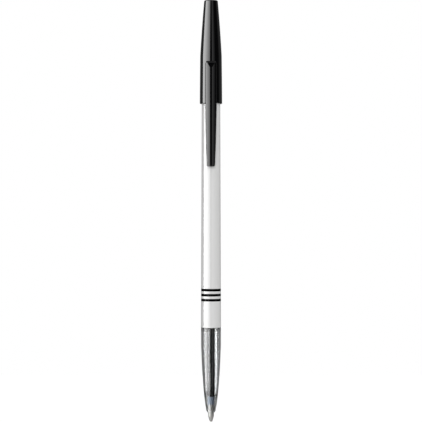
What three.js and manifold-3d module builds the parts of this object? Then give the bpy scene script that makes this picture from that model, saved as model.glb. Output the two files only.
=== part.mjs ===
// A capped stick ballpoint pen with the cap pushed on its rear end, hanging point down from its clip.
// Millimetres. The pieces are made along Y from the writing ball's outermost point towards the rear, with
// the clip at +Z. The whole pen is then stood up: its point is at -Z, the cap's closed end at +Z and the
// clip at -Y.
import * as THREE from 'three';
import { mergeVertices } from 'three/addons/utils/BufferGeometryUtils.js';
import Module from 'manifold-3d';

const wasm = await Module();
wasm.setup();

// Facets round a large piece and round a small one, multiples of 4 so that a flat faces the clip
const facets = 36;
const small_facets = 24;
const long_curve_steps = 9;
const curve_steps = 6;
const short_curve_steps = 4;
const weld_distance = 1e-5;

// Fits
const press_gap = 0.03;
const running_gap = 0.05;
const ball_gap = 0.02;
const clip_gap = 0.15;
const cutter_overrun = 1;

// Writing ball and metal point
const ball_r = 0.5;
const ball_proud = 0.3;
const ball_seat_angle = 120;
const ball_seat_cone = 0.4;
const lip_wall = 0.05;
const point_r = 1.15;
const point_cone_length = 2.04;
const point_neck_length = 4.61;
const point_chamfer = 0.08;
const ink_feed_r = 0.3;
const point_shank_r = 0.8;
const point_shank_length = 2.3;

// Holder between the point and the refill tube
const holder_r = 1.35;
const holder_length = 3.0;
const holder_edge = 0.12;
const holder_shank_r = 0.85;
const holder_shank_length = 2.0;

// Refill tube and what fills it
const tube_r = 1.5;
const tube_bore_r = 1.0;
const tube_length = 118;
const ink_length = 108;
const ink_end_gap = 0.05;
const grease_length = 2.6;

// Clear nose
const point_reach = 3.9;
const nose_length = 33.0;
const nose_mouth_r = 1.42;
const nose_tip_length = 1.5;
const nose_tip_bulge = 0.5;
const nose_shoulder_r = 1.99;
const nose_bulge_from_mouth = 8.36;
const nose_bulge_r = 3.25;
const nose_straight_length = 6.98;
const nose_rear_r = 3.87;
const nose_bore_r = 3.1;
const nose_bore_length = 10.9;
const nose_bore_bulge_r = 2.98;
const nose_bore_bulge_from_rear = 18.4;
const nose_bore_end_r = 2.45;
const nose_bore_end_from_rear = 24.6;
const nose_throat_length = 0.95;
const nose_throat_clearance = 0.1;
const nose_flare_length = 1.5;
const spigot_length = 8.0;
const spigot_wall = 0.5;

// White barrel
const barrel_length = 106.56;
const barrel_front_r = 3.9;
const barrel_rear_r = 3.536;
const barrel_socket_wall = 0.65;
const barrel_bore_r = 2.75;
const socket_end_gap = 0.3;

// Plug in the barrel's rear end
const plug_head_r = 3.1;
const plug_head_length = 1.2;
const plug_shank_length = 5.0;
const plug_wall = 0.8;
const plug_chamfer = 0.3;

// Cap
const cap_length = 40.33;
const cap_top_r = 2.62;
const cap_top_edge_r = 0.45;
const cap_top_wall = 1.7;
const crown_length = 20.0;
const crown_bulge_r = 3.495;
const shoulder_r = 4.01;
const cap_mouth_r = 4.32;
const cap_mouth_wall = 0.5;
const cap_seat_depth = 19.5;
const cap_seat_gap = 0.1;
const cap_ledge = 0.19;
const crown_bore_bulge_r = 3.05;
const crown_bore_top_r = 2.05;

// Clip
const clip_thickness = 0.73;
const clip_crown_r = 4.2;
const clip_half_width = 2.2;
const clip_root_half_width = 1.75;
const clip_end_half_width = 1.64;
const clip_bulge_half_width = 2.02;
const clip_root_from_mouth = 16.3;
const clip_arch_length = 1.7;
const clip_overhang = 24.4;
const clip_taper_from_mouth = 0.6;
const clip_bulge_from_mouth = 7.1;
const clip_end_corner_r = 0.9;
const clip_ledge_run = 0.7;
const clip_ledge_drop = 0.25;
const clip_roll_r = 9.2;
const clip_end_roll_r = 0.8;
const bead_length = 3.2;
const bead_ramp = 4.0;
const bead_lead = 1.1;
const bead_gap = 0.1;

// Hidden root that carries the clip on the cap
const root_half_width = 1.3;
const root_length = 4.6;
const root_rear_margin = 0.8;
const root_cover = 0.65;

// Derived places along the axis
const cone_end_s = ball_proud + point_cone_length;
const holder_front_s = cone_end_s + point_neck_length;
const nose_mouth_s = point_reach;
const nose_rear_s = nose_mouth_s + nose_length;
const holder_rear_s = holder_front_s + holder_length;
const tube_rear_s = holder_rear_s + tube_length;
const ink_rear_s = holder_rear_s + ink_end_gap + ink_length;
const barrel_rear_s = nose_rear_s + barrel_length;
const cap_mouth_s = barrel_rear_s + cap_seat_gap - cap_seat_depth;
const cap_top_s = cap_mouth_s + cap_length;
const cap_ledge_s = cap_mouth_s + cap_seat_depth;
const crown_start_s = cap_top_s - crown_length;
const clip_root_s = cap_mouth_s + clip_root_from_mouth;
const clip_end_s = cap_mouth_s - clip_overhang;
const clip_crest = cap_mouth_r + clip_gap + clip_thickness;
const spigot_r = barrel_front_r - barrel_socket_wall - press_gap;
const spigot_rear_s = nose_rear_s + spigot_length;
const bead_front_s = clip_end_s + bead_lead;
const bead_rear_s = clip_end_s + bead_length;
const grip_s = (bead_front_s + bead_rear_s) / 2;
const grip_height = barrel_r_at(clip_end_s) + bead_gap;

function point(r, s) {
  return new THREE.Vector2(r, s);
}

// Points on an arc in the (radius, axis) plane, angles in degrees from the outward direction
function arc(r, s, radius, from, to, steps) {
  const points = [];
  for (let i = 0; i <= steps; i += 1) {
    const angle = THREE.MathUtils.degToRad(from + ((to - from) * i) / steps);
    points.push(point(r + radius * Math.cos(angle), s + radius * Math.sin(angle)));
  }
  return points;
}

function curve(start, bulge, end, steps) {
  return new THREE.QuadraticBezierCurve(start, bulge, end).getPoints(steps);
}

// A geometry as a closed solid with shared vertices
function solid(geometry) {
  geometry.deleteAttribute('normal');
  geometry.deleteAttribute('uv');
  const merged = mergeVertices(geometry, weld_distance);
  const index = merged.index.array;
  const triangles = [];
  for (let i = 0; i < index.length; i += 3) {
    const [a, b, c] = [index[i], index[i + 1], index[i + 2]];
    if (a !== b && b !== c && c !== a) triangles.push(a, b, c);
  }
  return new wasm.Manifold(new wasm.Mesh({
    numProp: 3,
    vertProperties: new Float32Array(merged.attributes.position.array),
    triVerts: new Uint32Array(triangles),
  }));
}

// A profile turned about the Y axis. It runs up the outside and down the inside, or from the axis to the axis
function turned(profile, count = facets) {
  const closed = profile[0].x > 0 ? [...profile, profile[0].clone()] : profile;
  return solid(new THREE.LatheGeometry(closed, count, Math.PI / count));
}

// An outline in the (axis, height) plane, pushed out along X to both sides
function side_plate(outline, half_width) {
  const geometry = new THREE.ExtrudeGeometry(outline, { depth: 2 * half_width, bevelEnabled: false });
  geometry.translate(0, 0, -half_width);
  geometry.rotateX(Math.PI / 2);
  geometry.rotateZ(Math.PI / 2);
  return solid(geometry);
}

// An outline in the (X, axis) plane, pushed up along Z
function top_plate(outline, low, high) {
  const geometry = new THREE.ExtrudeGeometry(outline, { depth: high - low, bevelEnabled: false });
  geometry.translate(0, 0, low);
  return solid(geometry);
}

function block(width, start_s, end_s, low, high) {
  const geometry = new THREE.BoxGeometry(width, end_s - start_s, high - low);
  geometry.translate(0, (start_s + end_s) / 2, (low + high) / 2);
  return solid(geometry);
}

function named_mesh(name, shape, color, roughness, metalness = 0, opacity = 1) {
  const { numProp, vertProperties, triVerts } = shape.getMesh();
  const geometry = new THREE.BufferGeometry();
  geometry.setAttribute('position', new THREE.BufferAttribute(vertProperties, numProp));
  geometry.setIndex(new THREE.BufferAttribute(triVerts, 1));
  geometry.computeVertexNormals();
  const material = new THREE.MeshStandardMaterial({ color, roughness, metalness });
  material.opacity = opacity;
  material.transparent = opacity < 1;
  const mesh = new THREE.Mesh(geometry, material);
  mesh.name = name;
  return mesh;
}

function writing_ball() {
  const geometry = new THREE.SphereGeometry(ball_r, small_facets, small_facets / 2);
  geometry.translate(0, ball_r, 0);
  return solid(geometry);
}

// Cone and neck of the point, its shank in the holder, the ball's socket and the ink feed
function point_body() {
  const socket_r = ball_r + ball_gap;
  const lip_angle = -THREE.MathUtils.radToDeg(Math.asin((ball_r - ball_proud) / socket_r));
  const socket = arc(0, ball_r, socket_r, lip_angle, ball_seat_angle - 90, curve_steps);
  const feed_front_s = socket[socket.length - 1].y + ball_seat_cone;
  const shank_rear_s = holder_front_s + point_shank_length;
  const outside = [
    point(socket[0].x + lip_wall, ball_proud),
    point(point_r, cone_end_s),
    point(point_r, holder_front_s - press_gap - point_chamfer),
    point(point_r - point_chamfer, holder_front_s - press_gap),
    point(point_shank_r, holder_front_s - press_gap),
    point(point_shank_r, shank_rear_s),
  ];
  const inside = [point(ink_feed_r, shank_rear_s), point(ink_feed_r, feed_front_s)];
  return turned([...outside, ...inside, ...socket.reverse()], small_facets);
}

// Sleeve that takes the point's shank in front and plugs into the refill tube behind
function tip_holder() {
  const front = holder_front_s;
  const socket_end_s = front + point_shank_length + press_gap;
  const rear = holder_rear_s + holder_shank_length;
  return turned([
    point(point_shank_r + press_gap, front),
    point(holder_r - holder_edge, front),
    point(holder_r, front + holder_edge),
    point(holder_r, holder_rear_s),
    point(holder_shank_r, holder_rear_s),
    point(holder_shank_r, rear),
    point(ink_feed_r, rear),
    point(ink_feed_r, socket_end_s),
    point(point_shank_r + press_gap, socket_end_s),
  ], small_facets);
}

function refill_tube() {
  return turned([
    point(tube_bore_r, holder_rear_s),
    point(tube_r, holder_rear_s),
    point(tube_r, tube_rear_s),
    point(tube_bore_r, tube_rear_s),
  ], small_facets);
}

// The ink fills the bore and a thin film of it lies round the holder's shank
function ink_column() {
  const r = tube_bore_r - press_gap;
  const front = holder_rear_s + ink_end_gap;
  const film_end_s = holder_rear_s + holder_shank_length + ink_end_gap;
  return turned([
    point(0, film_end_s),
    point(holder_shank_r + press_gap, film_end_s),
    point(holder_shank_r + press_gap, front),
    point(r, front),
    point(r, ink_rear_s),
    point(0, ink_rear_s),
  ], small_facets);
}

function grease_follower() {
  const r = tube_bore_r - press_gap;
  const front = ink_rear_s + ink_end_gap;
  const rear = front + grease_length;
  return turned([point(0, front), point(r, front), point(r, rear), point(0, rear)], small_facets);
}

// Tapered clear section: mouth round the point, holder's seat, bore round the refill, spigot in the barrel
function clear_nose() {
  const mouth_bore_r = point_r + running_gap;
  const seat_r = holder_r + nose_throat_clearance;
  const throat_r = tube_r + nose_throat_clearance;
  const seat_s = holder_front_s - running_gap;
  const shoulder = point(nose_shoulder_r, nose_mouth_s + nose_tip_length);
  const bulge = point(nose_bulge_r, nose_mouth_s + nose_bulge_from_mouth);
  const straight = point(nose_rear_r, nose_rear_s - nose_straight_length);
  const outer = curve(shoulder, bulge, straight, long_curve_steps);
  const bore_start = point(nose_bore_r, nose_rear_s - nose_bore_length);
  const bore_bulge = point(nose_bore_bulge_r, nose_rear_s - nose_bore_bulge_from_rear);
  const bore_end = point(nose_bore_end_r, nose_rear_s - nose_bore_end_from_rear);
  const tip_bulge = point(nose_shoulder_r - running_gap, nose_mouth_s + nose_tip_bulge);
  const tip = curve(point(nose_mouth_r, nose_mouth_s), tip_bulge, shoulder, short_curve_steps);
  return turned([
    point(mouth_bore_r, nose_mouth_s),
    ...tip.slice(0, -1),
    ...outer,
    point(nose_rear_r, nose_rear_s),
    point(spigot_r, nose_rear_s),
    point(spigot_r, spigot_rear_s),
    point(spigot_r - spigot_wall, spigot_rear_s),
    point(spigot_r - spigot_wall, nose_rear_s),
    point(nose_bore_r, nose_rear_s - nose_flare_length),
    ...curve(bore_start, bore_bulge, bore_end, curve_steps),
    point(throat_r, holder_rear_s + nose_throat_length),
    point(throat_r, holder_rear_s + running_gap),
    point(seat_r, holder_rear_s),
    point(seat_r, seat_s),
    point(mouth_bore_r, seat_s),
  ]);
}

function barrel_r_at(s) {
  return barrel_front_r + ((barrel_rear_r - barrel_front_r) * (s - nose_rear_s)) / barrel_length;
}

function white_barrel() {
  const socket_r = spigot_r + press_gap;
  const socket_end_s = spigot_rear_s + socket_end_gap;
  return turned([
    point(socket_r, nose_rear_s),
    point(barrel_front_r, nose_rear_s),
    point(barrel_rear_r, barrel_rear_s),
    point(barrel_bore_r, barrel_rear_s),
    point(barrel_bore_r, socket_end_s),
    point(socket_r, socket_end_s),
  ]);
}

// Hollow plug with a rim that sits on the barrel's rear end
function end_plug() {
  const r = barrel_bore_r - press_gap;
  const front = barrel_rear_s - plug_shank_length;
  const rear = barrel_rear_s + plug_head_length;
  return turned([
    point(0, barrel_rear_s - plug_wall),
    point(r - plug_wall, barrel_rear_s - plug_wall),
    point(r - plug_wall, front),
    point(r - plug_chamfer, front),
    point(r, front + plug_chamfer),
    point(r, barrel_rear_s),
    point(plug_head_r, barrel_rear_s),
    point(plug_head_r, rear - plug_chamfer),
    point(plug_head_r - plug_chamfer, rear),
    point(0, rear),
  ]);
}

// Outside of the cap from its mouth to its flat closed end, moved out by a gap where another piece clears it
function cap_outline(gap = 0) {
  const skirt_bulge_s = (cap_mouth_s + crown_start_s) / 2;
  const crown_bulge_s = cap_top_s - crown_length / 2;
  const shoulder = point(shoulder_r + gap, crown_start_s);
  const skirt_bulge = point(cap_mouth_r + gap, skirt_bulge_s);
  const skirt = curve(point(cap_mouth_r + gap, cap_mouth_s), skirt_bulge, shoulder, curve_steps);
  const crown_end = point(cap_top_r + gap, cap_top_s - cap_top_edge_r);
  const crown = curve(shoulder, point(crown_bulge_r + gap, crown_bulge_s), crown_end, curve_steps);
  return [...skirt, ...crown.slice(1)];
}

function clip_root() {
  const rear = clip_root_s - root_rear_margin;
  const high = clip_crest - root_cover;
  return block(2 * root_half_width, rear - root_length, rear, 0, high);
}

function cap_shell() {
  const edge_s = cap_top_s - cap_top_edge_r;
  const edge = arc(cap_top_r - cap_top_edge_r, edge_s, cap_top_edge_r, 0, 90, short_curve_steps).slice(1);
  const outside = turned([point(0, cap_mouth_s), ...cap_outline(), ...edge, point(0, cap_top_s)]);
  const mouth_bore_r = cap_mouth_r - cap_mouth_wall;
  const seat_r = barrel_rear_r + running_gap;
  const crown_bore_r = seat_r - cap_ledge - running_gap;
  const bore_top_s = cap_top_s - cap_top_wall;
  const bore_bulge = point(crown_bore_bulge_r, (cap_ledge_s + bore_top_s) / 2);
  const bore_top = point(crown_bore_top_r, bore_top_s);
  const crown_bore = curve(point(crown_bore_r, cap_ledge_s), bore_bulge, bore_top, curve_steps);
  const bore = turned([
    point(0, cap_mouth_s - cutter_overrun),
    point(mouth_bore_r, cap_mouth_s - cutter_overrun),
    point(mouth_bore_r, cap_mouth_s),
    point(seat_r, cap_ledge_s),
    ...crown_bore,
    point(0, bore_top_s),
  ]);
  return outside.add(clip_root()).subtract(bore);
}

// Side view of the clip: sloped ledge and roll at its root, flat crest, rounded end
function clip_side() {
  const roll_foot_s = clip_root_s - clip_ledge_run;
  const roll_run = Math.sqrt(2 * clip_roll_r * clip_ledge_drop);
  const outline = new THREE.Shape();
  outline.moveTo(clip_root_s, 0);
  outline.lineTo(clip_root_s, clip_crest - clip_ledge_drop - clip_ledge_run);
  outline.lineTo(roll_foot_s, clip_crest - clip_ledge_drop);
  outline.quadraticCurveTo(roll_foot_s - roll_run / 2, clip_crest, roll_foot_s - roll_run, clip_crest);
  outline.lineTo(clip_end_s + clip_end_roll_r, clip_crest);
  outline.quadraticCurveTo(clip_end_s, clip_crest, clip_end_s, clip_crest - clip_end_roll_r);
  outline.lineTo(clip_end_s, 0);
  return outline;
}

// Top view of the clip: arched root, straight sides over the cap, then a taper to a round-cornered end
function clip_plan() {
  const straight_end_s = cap_mouth_s - clip_taper_from_mouth;
  const bulge_s = cap_mouth_s - clip_bulge_from_mouth;
  const outline = new THREE.Shape();
  const corner_s = clip_end_s + clip_end_corner_r;
  const corner_x = clip_end_half_width - clip_end_corner_r;
  outline.moveTo(-clip_root_half_width, clip_root_s);
  outline.quadraticCurveTo(-clip_half_width, clip_root_s - clip_arch_length / 2, -clip_half_width,
    clip_root_s - clip_arch_length);
  outline.lineTo(-clip_half_width, straight_end_s);
  outline.quadraticCurveTo(-clip_bulge_half_width, bulge_s, -clip_end_half_width, corner_s);
  outline.quadraticCurveTo(-clip_end_half_width, clip_end_s, -corner_x, clip_end_s);
  outline.lineTo(corner_x, clip_end_s);
  outline.quadraticCurveTo(clip_end_half_width, clip_end_s, clip_end_half_width, corner_s);
  outline.quadraticCurveTo(clip_bulge_half_width, bulge_s, clip_half_width, straight_end_s);
  outline.lineTo(clip_half_width, clip_root_s - clip_arch_length);
  outline.quadraticCurveTo(clip_half_width, clip_root_s - clip_arch_length / 2, clip_root_half_width,
    clip_root_s);
  return outline;
}

// What the clip's underside clears: the cap, then the barrel with a flat bead that nearly touches it
function clip_clearance() {
  const skirt = cap_outline(clip_gap);
  const skirt_r = skirt[0].x;
  const crown_rear = skirt[skirt.length - 1];
  const bead_front = clip_end_s - cutter_overrun;
  const under_bead = block(2 * clip_crown_r, bead_front, bead_rear_s + bead_ramp, 0, grip_height);
  return turned([
    point(0, bead_front),
    point(skirt_r, bead_front),
    point(grip_height, bead_front_s),
    point(grip_height, bead_rear_s),
    point(skirt_r, bead_rear_s + bead_ramp),
    ...skirt,
    point(0, crown_rear.y),
  ]).add(under_bead);
}

function root_pocket() {
  const rear = clip_root_s - root_rear_margin + running_gap;
  const front = rear - root_length - 2 * running_gap;
  return block(2 * (root_half_width + running_gap), front, rear, 0, clip_crest - root_cover + running_gap);
}

// The clip is a curved strip that follows the cap, cut from its side view, its top view and its crowned face
function pocket_clip() {
  const length = cap_length + 2 * clip_overhang;
  const crown = new THREE.CylinderGeometry(clip_crown_r, clip_crown_r, length, 2 * facets);
  crown.translate(0, cap_mouth_s, clip_crest - clip_crown_r);
  return solid(crown)
    .intersect(side_plate(clip_side(), clip_crown_r))
    .intersect(top_plate(clip_plan(), 0, clip_crest + cutter_overrun))
    .subtract(clip_clearance())
    .subtract(root_pocket());
}

const black = '#0b0b0d';
const white = '#f1f1f0';
const pen = new THREE.Group();
pen.add(
  named_mesh('cap_shell', cap_shell(), black, 0.18),
  named_mesh('pocket_clip', pocket_clip(), black, 0.18),
  named_mesh('end_plug', end_plug(), black, 0.3),
  named_mesh('white_barrel', white_barrel(), white, 0.22),
  named_mesh('clear_nose', clear_nose(), '#eef2f3', 0.06, 0, 0.35),
  named_mesh('refill_tube', refill_tube(), '#dfe3e4', 0.2, 0, 0.45),
  named_mesh('ink_column', ink_column(), '#08080a', 0.35),
  named_mesh('grease_follower', grease_follower(), '#d9cfa6', 0.4, 0, 0.7),
  named_mesh('tip_holder', tip_holder(), '#7f8a9a', 0.35),
  named_mesh('point_body', point_body(), '#b9b9b6', 0.28, 1),
  named_mesh('writing_ball', writing_ball(), '#8f9092', 0.2, 1),
);

// The origin is in the middle of the bead's flat, where the clip grips a pocket's edge
pen.rotation.x = Math.PI / 2;
pen.position.set(0, grip_height, -grip_s);
const part = new THREE.Group();
part.add(pen);

export default part;
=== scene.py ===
import math

import bmesh
import bpy
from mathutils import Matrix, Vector


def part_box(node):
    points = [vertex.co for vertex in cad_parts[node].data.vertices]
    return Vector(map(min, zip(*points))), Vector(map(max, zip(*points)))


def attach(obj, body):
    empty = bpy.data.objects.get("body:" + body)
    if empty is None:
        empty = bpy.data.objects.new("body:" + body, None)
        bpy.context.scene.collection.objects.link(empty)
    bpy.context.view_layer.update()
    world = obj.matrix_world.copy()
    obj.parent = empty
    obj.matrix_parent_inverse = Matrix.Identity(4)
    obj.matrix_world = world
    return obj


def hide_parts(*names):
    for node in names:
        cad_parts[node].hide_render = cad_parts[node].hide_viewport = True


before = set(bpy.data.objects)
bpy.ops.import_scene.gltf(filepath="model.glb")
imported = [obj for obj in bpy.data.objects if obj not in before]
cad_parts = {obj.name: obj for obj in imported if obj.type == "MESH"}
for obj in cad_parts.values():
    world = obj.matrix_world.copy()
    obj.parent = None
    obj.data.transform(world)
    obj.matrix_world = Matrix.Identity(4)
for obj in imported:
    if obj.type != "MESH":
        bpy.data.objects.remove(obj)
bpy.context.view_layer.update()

bl_info = {
    "name": "Capped stick ballpoint pen",
    "version": (1, 0, 0),
    "blender": (4, 5, 0),
    "location": "View3D > Sidebar > Pen",
    "description": "Dresses the pen's packed solids with smooth pieces, finishes and a studio",
    "category": "Object",
}

MM = 0.001

# Places along the pen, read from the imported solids
CAP_LOW, CAP_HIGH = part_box("cap_shell")
CLIP_LOW, CLIP_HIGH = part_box("pocket_clip")
BARREL_LOW, BARREL_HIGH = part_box("white_barrel")
PLUG_LOW, PLUG_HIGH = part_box("end_plug")
NOSE_LOW, NOSE_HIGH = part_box("clear_nose")
TUBE_LOW, TUBE_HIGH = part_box("refill_tube")
INK_LOW, INK_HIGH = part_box("ink_column")
GREASE_LOW, GREASE_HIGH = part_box("grease_follower")
HOLDER_LOW, HOLDER_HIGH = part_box("tip_holder")
POINT_LOW, POINT_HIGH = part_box("point_body")
BALL_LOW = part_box("writing_ball")[0]

AXIS_Y = (BARREL_LOW.y + BARREL_HIGH.y) / 2
TIP_Z = BALL_LOW.z
CLIP_END_Z = CLIP_LOW.z - 0.17 * MM
CLIP_ROOT_Z = CLIP_HIGH.z + 0.08 * MM
LEDGE_RUN = 0.76 * MM
PRESS_GAP = 0.03 * MM

PIECE_SEGMENTS = 128
SMALL_SEGMENTS = 96
SHARP_ANGLE = math.radians(14)
WELD_DISTANCE = 2e-7
HOLD_DISTANCE = 0.03 * MM


def length(name, description, default):
    return bpy.props.FloatProperty(
        name=name, description=description, default=default, unit="LENGTH", precision=6
    )


def colour(name, description, default):
    return bpy.props.FloatVectorProperty(
        name=name, description=description, default=default, subtype="COLOR", size=3, min=0, max=1
    )


class PEN_sizes(bpy.types.PropertyGroup):
    """Sizes of the pen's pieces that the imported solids' boxes don't give."""

    cap_mouth_r: length("Cap mouth radius", "Outer radius of the cap at its mouth", 4.36 * MM)
    cap_mouth_wall: length("Cap wall", "Thickness of the cap's wall at its mouth", 0.5 * MM)
    cap_skirt_r: length("Cap skirt radius", "Control radius of the skirt's curve", 4.31 * MM)
    cap_shoulder_r: length("Cap shoulder radius", "Radius where skirt and crown meet", 4.19 * MM)
    cap_crown_length: length("Cap crown length", "Length of the tapered crown", 21.65 * MM)
    cap_crown_bulge_r: length("Cap crown bulge", "Control radius of the crown's curve", 3.6 * MM)
    cap_top_r: length("Cap top radius", "Outer radius of the cap's closed end", 2.68 * MM)
    cap_top_edge_r: length("Cap top edge", "Rounding of the closed end's edge", 0.45 * MM)
    cap_seat_r: length("Cap seat radius", "Bore that grips the barrel's rear end", 3.586 * MM)
    cap_seat_depth: length("Cap seat depth", "Depth of the ledge that stops the barrel", 19.5 * MM)
    cap_top_wall: length("Cap end wall", "Thickness of the closed end", 1.7 * MM)
    clip_half_width: length("Clip half width", "Half of the clip's width over the cap", 2.22 * MM)
    clip_root_half_width: length("Clip root half width", "Half of the width at its root", 1.75 * MM)
    clip_end_half_width: length("Clip end half width", "Half of the clip's width at its end", 1.64 * MM)
    clip_crown_r: length("Clip crown radius", "Radius of the clip's crowned face", 4.2 * MM)
    clip_roll_r: length("Clip roll radius", "Radius of the roll at the clip's root", 12.4 * MM)
    clip_edge_r: length("Clip edge", "Rounding of the clip's long edges", 0.3 * MM)
    clip_draft: bpy.props.FloatProperty(
        name="Clip draft",
        description="Slope of the clip's sides",
        default=math.radians(15),
        subtype="ANGLE",
    )
    barrel_front_r: length("Barrel front radius", "Outer radius at the barrel's front end", 3.9 * MM)
    barrel_rear_r: length("Barrel rear radius", "Outer radius at the barrel's rear end", 3.536 * MM)
    barrel_bore_r: length("Barrel bore", "Radius of the barrel's bore", 2.75 * MM)
    barrel_socket_wall: length("Socket wall", "Wall of the barrel round the nose's spigot", 0.65 * MM)
    ring_width: length("Ring width", "Width of one printed ring", 0.99 * MM)
    ring_pitch: length("Ring pitch", "Distance from one ring to the next", 1.95 * MM)
    ring_front: length("Ring place", "Middle of the front ring, from the barrel's front end", 10.77 * MM)
    nose_length: length("Nose length", "Length of the clear nose that shows", 33.0 * MM)
    nose_mouth_r: length("Nose mouth radius", "Outer radius at the nose's mouth", 1.42 * MM)
    nose_shoulder_r: length("Nose shoulder radius", "Radius just behind the rounded end", 1.99 * MM)
    nose_rear_r: length("Nose rear radius", "Outer radius where the nose meets the barrel", 3.87 * MM)
    nose_straight: length("Nose straight length", "Straight part in front of the barrel", 6.98 * MM)
    nose_bulge_r: length("Nose bulge", "Control radius of the nose's curve", 3.25 * MM)
    nose_bulge_place: length("Nose bulge place", "Control point of the curve, from the mouth", 8.36 * MM)
    nose_bore_r: length("Nose bore", "Radius of the hollow round the refill", 3.1 * MM)
    nose_bore_length: length("Nose bore length", "Length of the hollow's straight part", 10.9 * MM)
    nose_bore_bulge_r: length("Nose bore bulge", "Control radius of the hollow's curve", 2.98 * MM)
    nose_bore_bulge_place: length(
        "Nose bore bulge place", "Control point of the hollow's curve, from the rear", 18.4 * MM
    )
    nose_bore_end_r: length("Nose bore end", "Radius of the hollow where its curve ends", 2.45 * MM)
    nose_bore_end_place: length("Nose bore end place", "End of that curve, from the rear", 24.6 * MM)
    tube_r: length("Refill radius", "Outer radius of the refill tube", 1.5 * MM)
    tube_bore_r: length("Refill bore", "Bore of the refill tube", 1.0 * MM)
    holder_r: length("Holder radius", "Outer radius of the point's holder", 1.35 * MM)
    point_r: length("Point radius", "Outer radius of the metal point", 1.15 * MM)
    ball_r: length("Ball radius", "Radius of the writing ball", 0.5 * MM)


class PEN_colours(bpy.types.PropertyGroup):
    """Colours of the pen's finishes and of the studio."""

    black_plastic: colour("Black plastic", "Cap and clip", (0.0008, 0.0008, 0.001))
    plug_plastic: colour("Plug plastic", "Plug inside the barrel's rear end", (0.012, 0.012, 0.013))
    white_plastic: colour("White plastic", "Barrel", (0.83, 0.83, 0.825))
    ring_ink: colour("Ring ink", "Rings printed on the barrel", (0.002, 0.002, 0.002))
    clear_plastic: colour("Clear plastic", "Nose", (0.955, 0.965, 0.97))
    tube_plastic: colour("Tube plastic", "Refill tube", (0.93, 0.94, 0.95))
    ink: colour("Ink", "Ink in the refill", (0.002, 0.002, 0.003))
    grease: colour("Grease", "Plug of grease behind the ink", (0.72, 0.62, 0.36))
    holder_plastic: colour("Holder plastic", "Sleeve that holds the point", (0.2, 0.235, 0.295))
    point_metal: colour("Point metal", "Turned metal point", (0.36, 0.355, 0.342))
    ball_metal: colour("Ball metal", "Writing ball", (0.5, 0.5, 0.51))
    background: colour("Background", "Floor and surroundings as the camera sees them", (1.0, 1.0, 1.0))


def sizes():
    return bpy.context.scene.pen_sizes


def colours():
    return bpy.context.scene.pen_colours


class Value:
    """A node socket that can be used in Python arithmetic; each operation adds a Math node."""

    def __init__(self, board, socket):
        self.board = board
        self.socket = socket

    def join(self, operation, *others):
        return self.board.add("ShaderNodeMath", {"operation": operation}, [self, *others])[0]

    def __add__(self, other):
        return self.join("ADD", other)

    def __radd__(self, other):
        return self.join("ADD", other)

    def __sub__(self, other):
        return self.join("SUBTRACT", other)

    def __rsub__(self, other):
        return self.board.add("ShaderNodeMath", {"operation": "SUBTRACT"}, [other, self])[0]

    def __mul__(self, other):
        return self.join("MULTIPLY", other)

    def __rmul__(self, other):
        return self.join("MULTIPLY", other)

    def __neg__(self):
        return self.join("MULTIPLY", -1)

    def __lt__(self, other):
        return self.join("LESS_THAN", other)

    def absolute(self):
        return self.join("ABSOLUTE")

    def largest(self, other):
        return self.join("MAXIMUM", other)


class Board:
    """A node tree under construction, for a material, the world or Geometry Nodes."""

    def __init__(self, tree):
        self.tree = tree

    def add(self, kind, settings=None, inputs=None):
        node = self.tree.nodes.new(kind)
        for name, value in (settings or {}).items():
            setattr(node, name, value)
        pairs = inputs.items() if isinstance(inputs, dict) else enumerate(inputs or [])
        for key, value in pairs:
            self.feed(node.inputs[key], value)
        return [Value(self, output) for output in node.outputs if output.enabled]

    def feed(self, socket, value):
        if isinstance(value, Value):
            self.tree.links.new(value.socket, socket)
        else:
            socket.default_value = value

    def object_place(self):
        return self.add("ShaderNodeTexCoord")[3]

    def split(self, vector):
        return self.add("ShaderNodeSeparateXYZ", None, [vector])

    def noise(self, place, scale, detail=2.0, roughness=0.5):
        inputs = {"Vector": place, "Scale": scale, "Detail": detail, "Roughness": roughness}
        return self.add("ShaderNodeTexNoise", None, inputs)[0]

    def stretched(self, place, factors):
        return self.add("ShaderNodeVectorMath", {"operation": "MULTIPLY"}, [place, factors])[0]

    def range(self, value, low, high, new_low, new_high):
        return self.add("ShaderNodeMapRange", None, [value, low, high, new_low, new_high])[0]

    def mix_colour(self, share, first, second):
        node = self.tree.nodes.new("ShaderNodeMix")
        node.data_type = "RGBA"
        self.feed(node.inputs["Factor"], share)
        colour_inputs = [s for s in node.inputs if s.type == "RGBA"]
        for socket, value in zip(colour_inputs, (first, second)):
            self.feed(socket, value if isinstance(value, Value) else (*value, 1.0))
        return Value(self, next(s for s in node.outputs if s.type == "RGBA"))

    def bump(self, height, distance, strength=1.0):
        inputs = {"Height": height, "Distance": distance, "Strength": strength}
        return self.add("ShaderNodeBump", None, inputs)[0]


def new_material(name, inputs, print_mask=None, print_inputs=None):
    """A material with a Principled shader and, where a mask is given, a second one for the print on it.

    inputs takes the board and gives the sockets' values, and print_mask takes it and gives the share.
    """
    material = bpy.data.materials.new(name)
    material.use_nodes = True
    tree = material.node_tree
    shader = next(n for n in tree.nodes if n.type == "BSDF_PRINCIPLED")
    board = Board(tree)
    for key, value in inputs(board).items():
        if isinstance(value, tuple):
            value = (*value, 1.0)
        board.feed(shader.inputs[key], value)
    if print_mask:
        printed = board.add("ShaderNodeBsdfPrincipled", None, print_inputs)[0]
        plain = Value(board, shader.outputs[0])
        mixed = board.add("ShaderNodeMixShader", None, [print_mask(board), plain, printed])[0]
        output = next(n for n in tree.nodes if n.type == "OUTPUT_MATERIAL")
        board.feed(output.inputs["Surface"], mixed)
    return material


# Finishes

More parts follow.
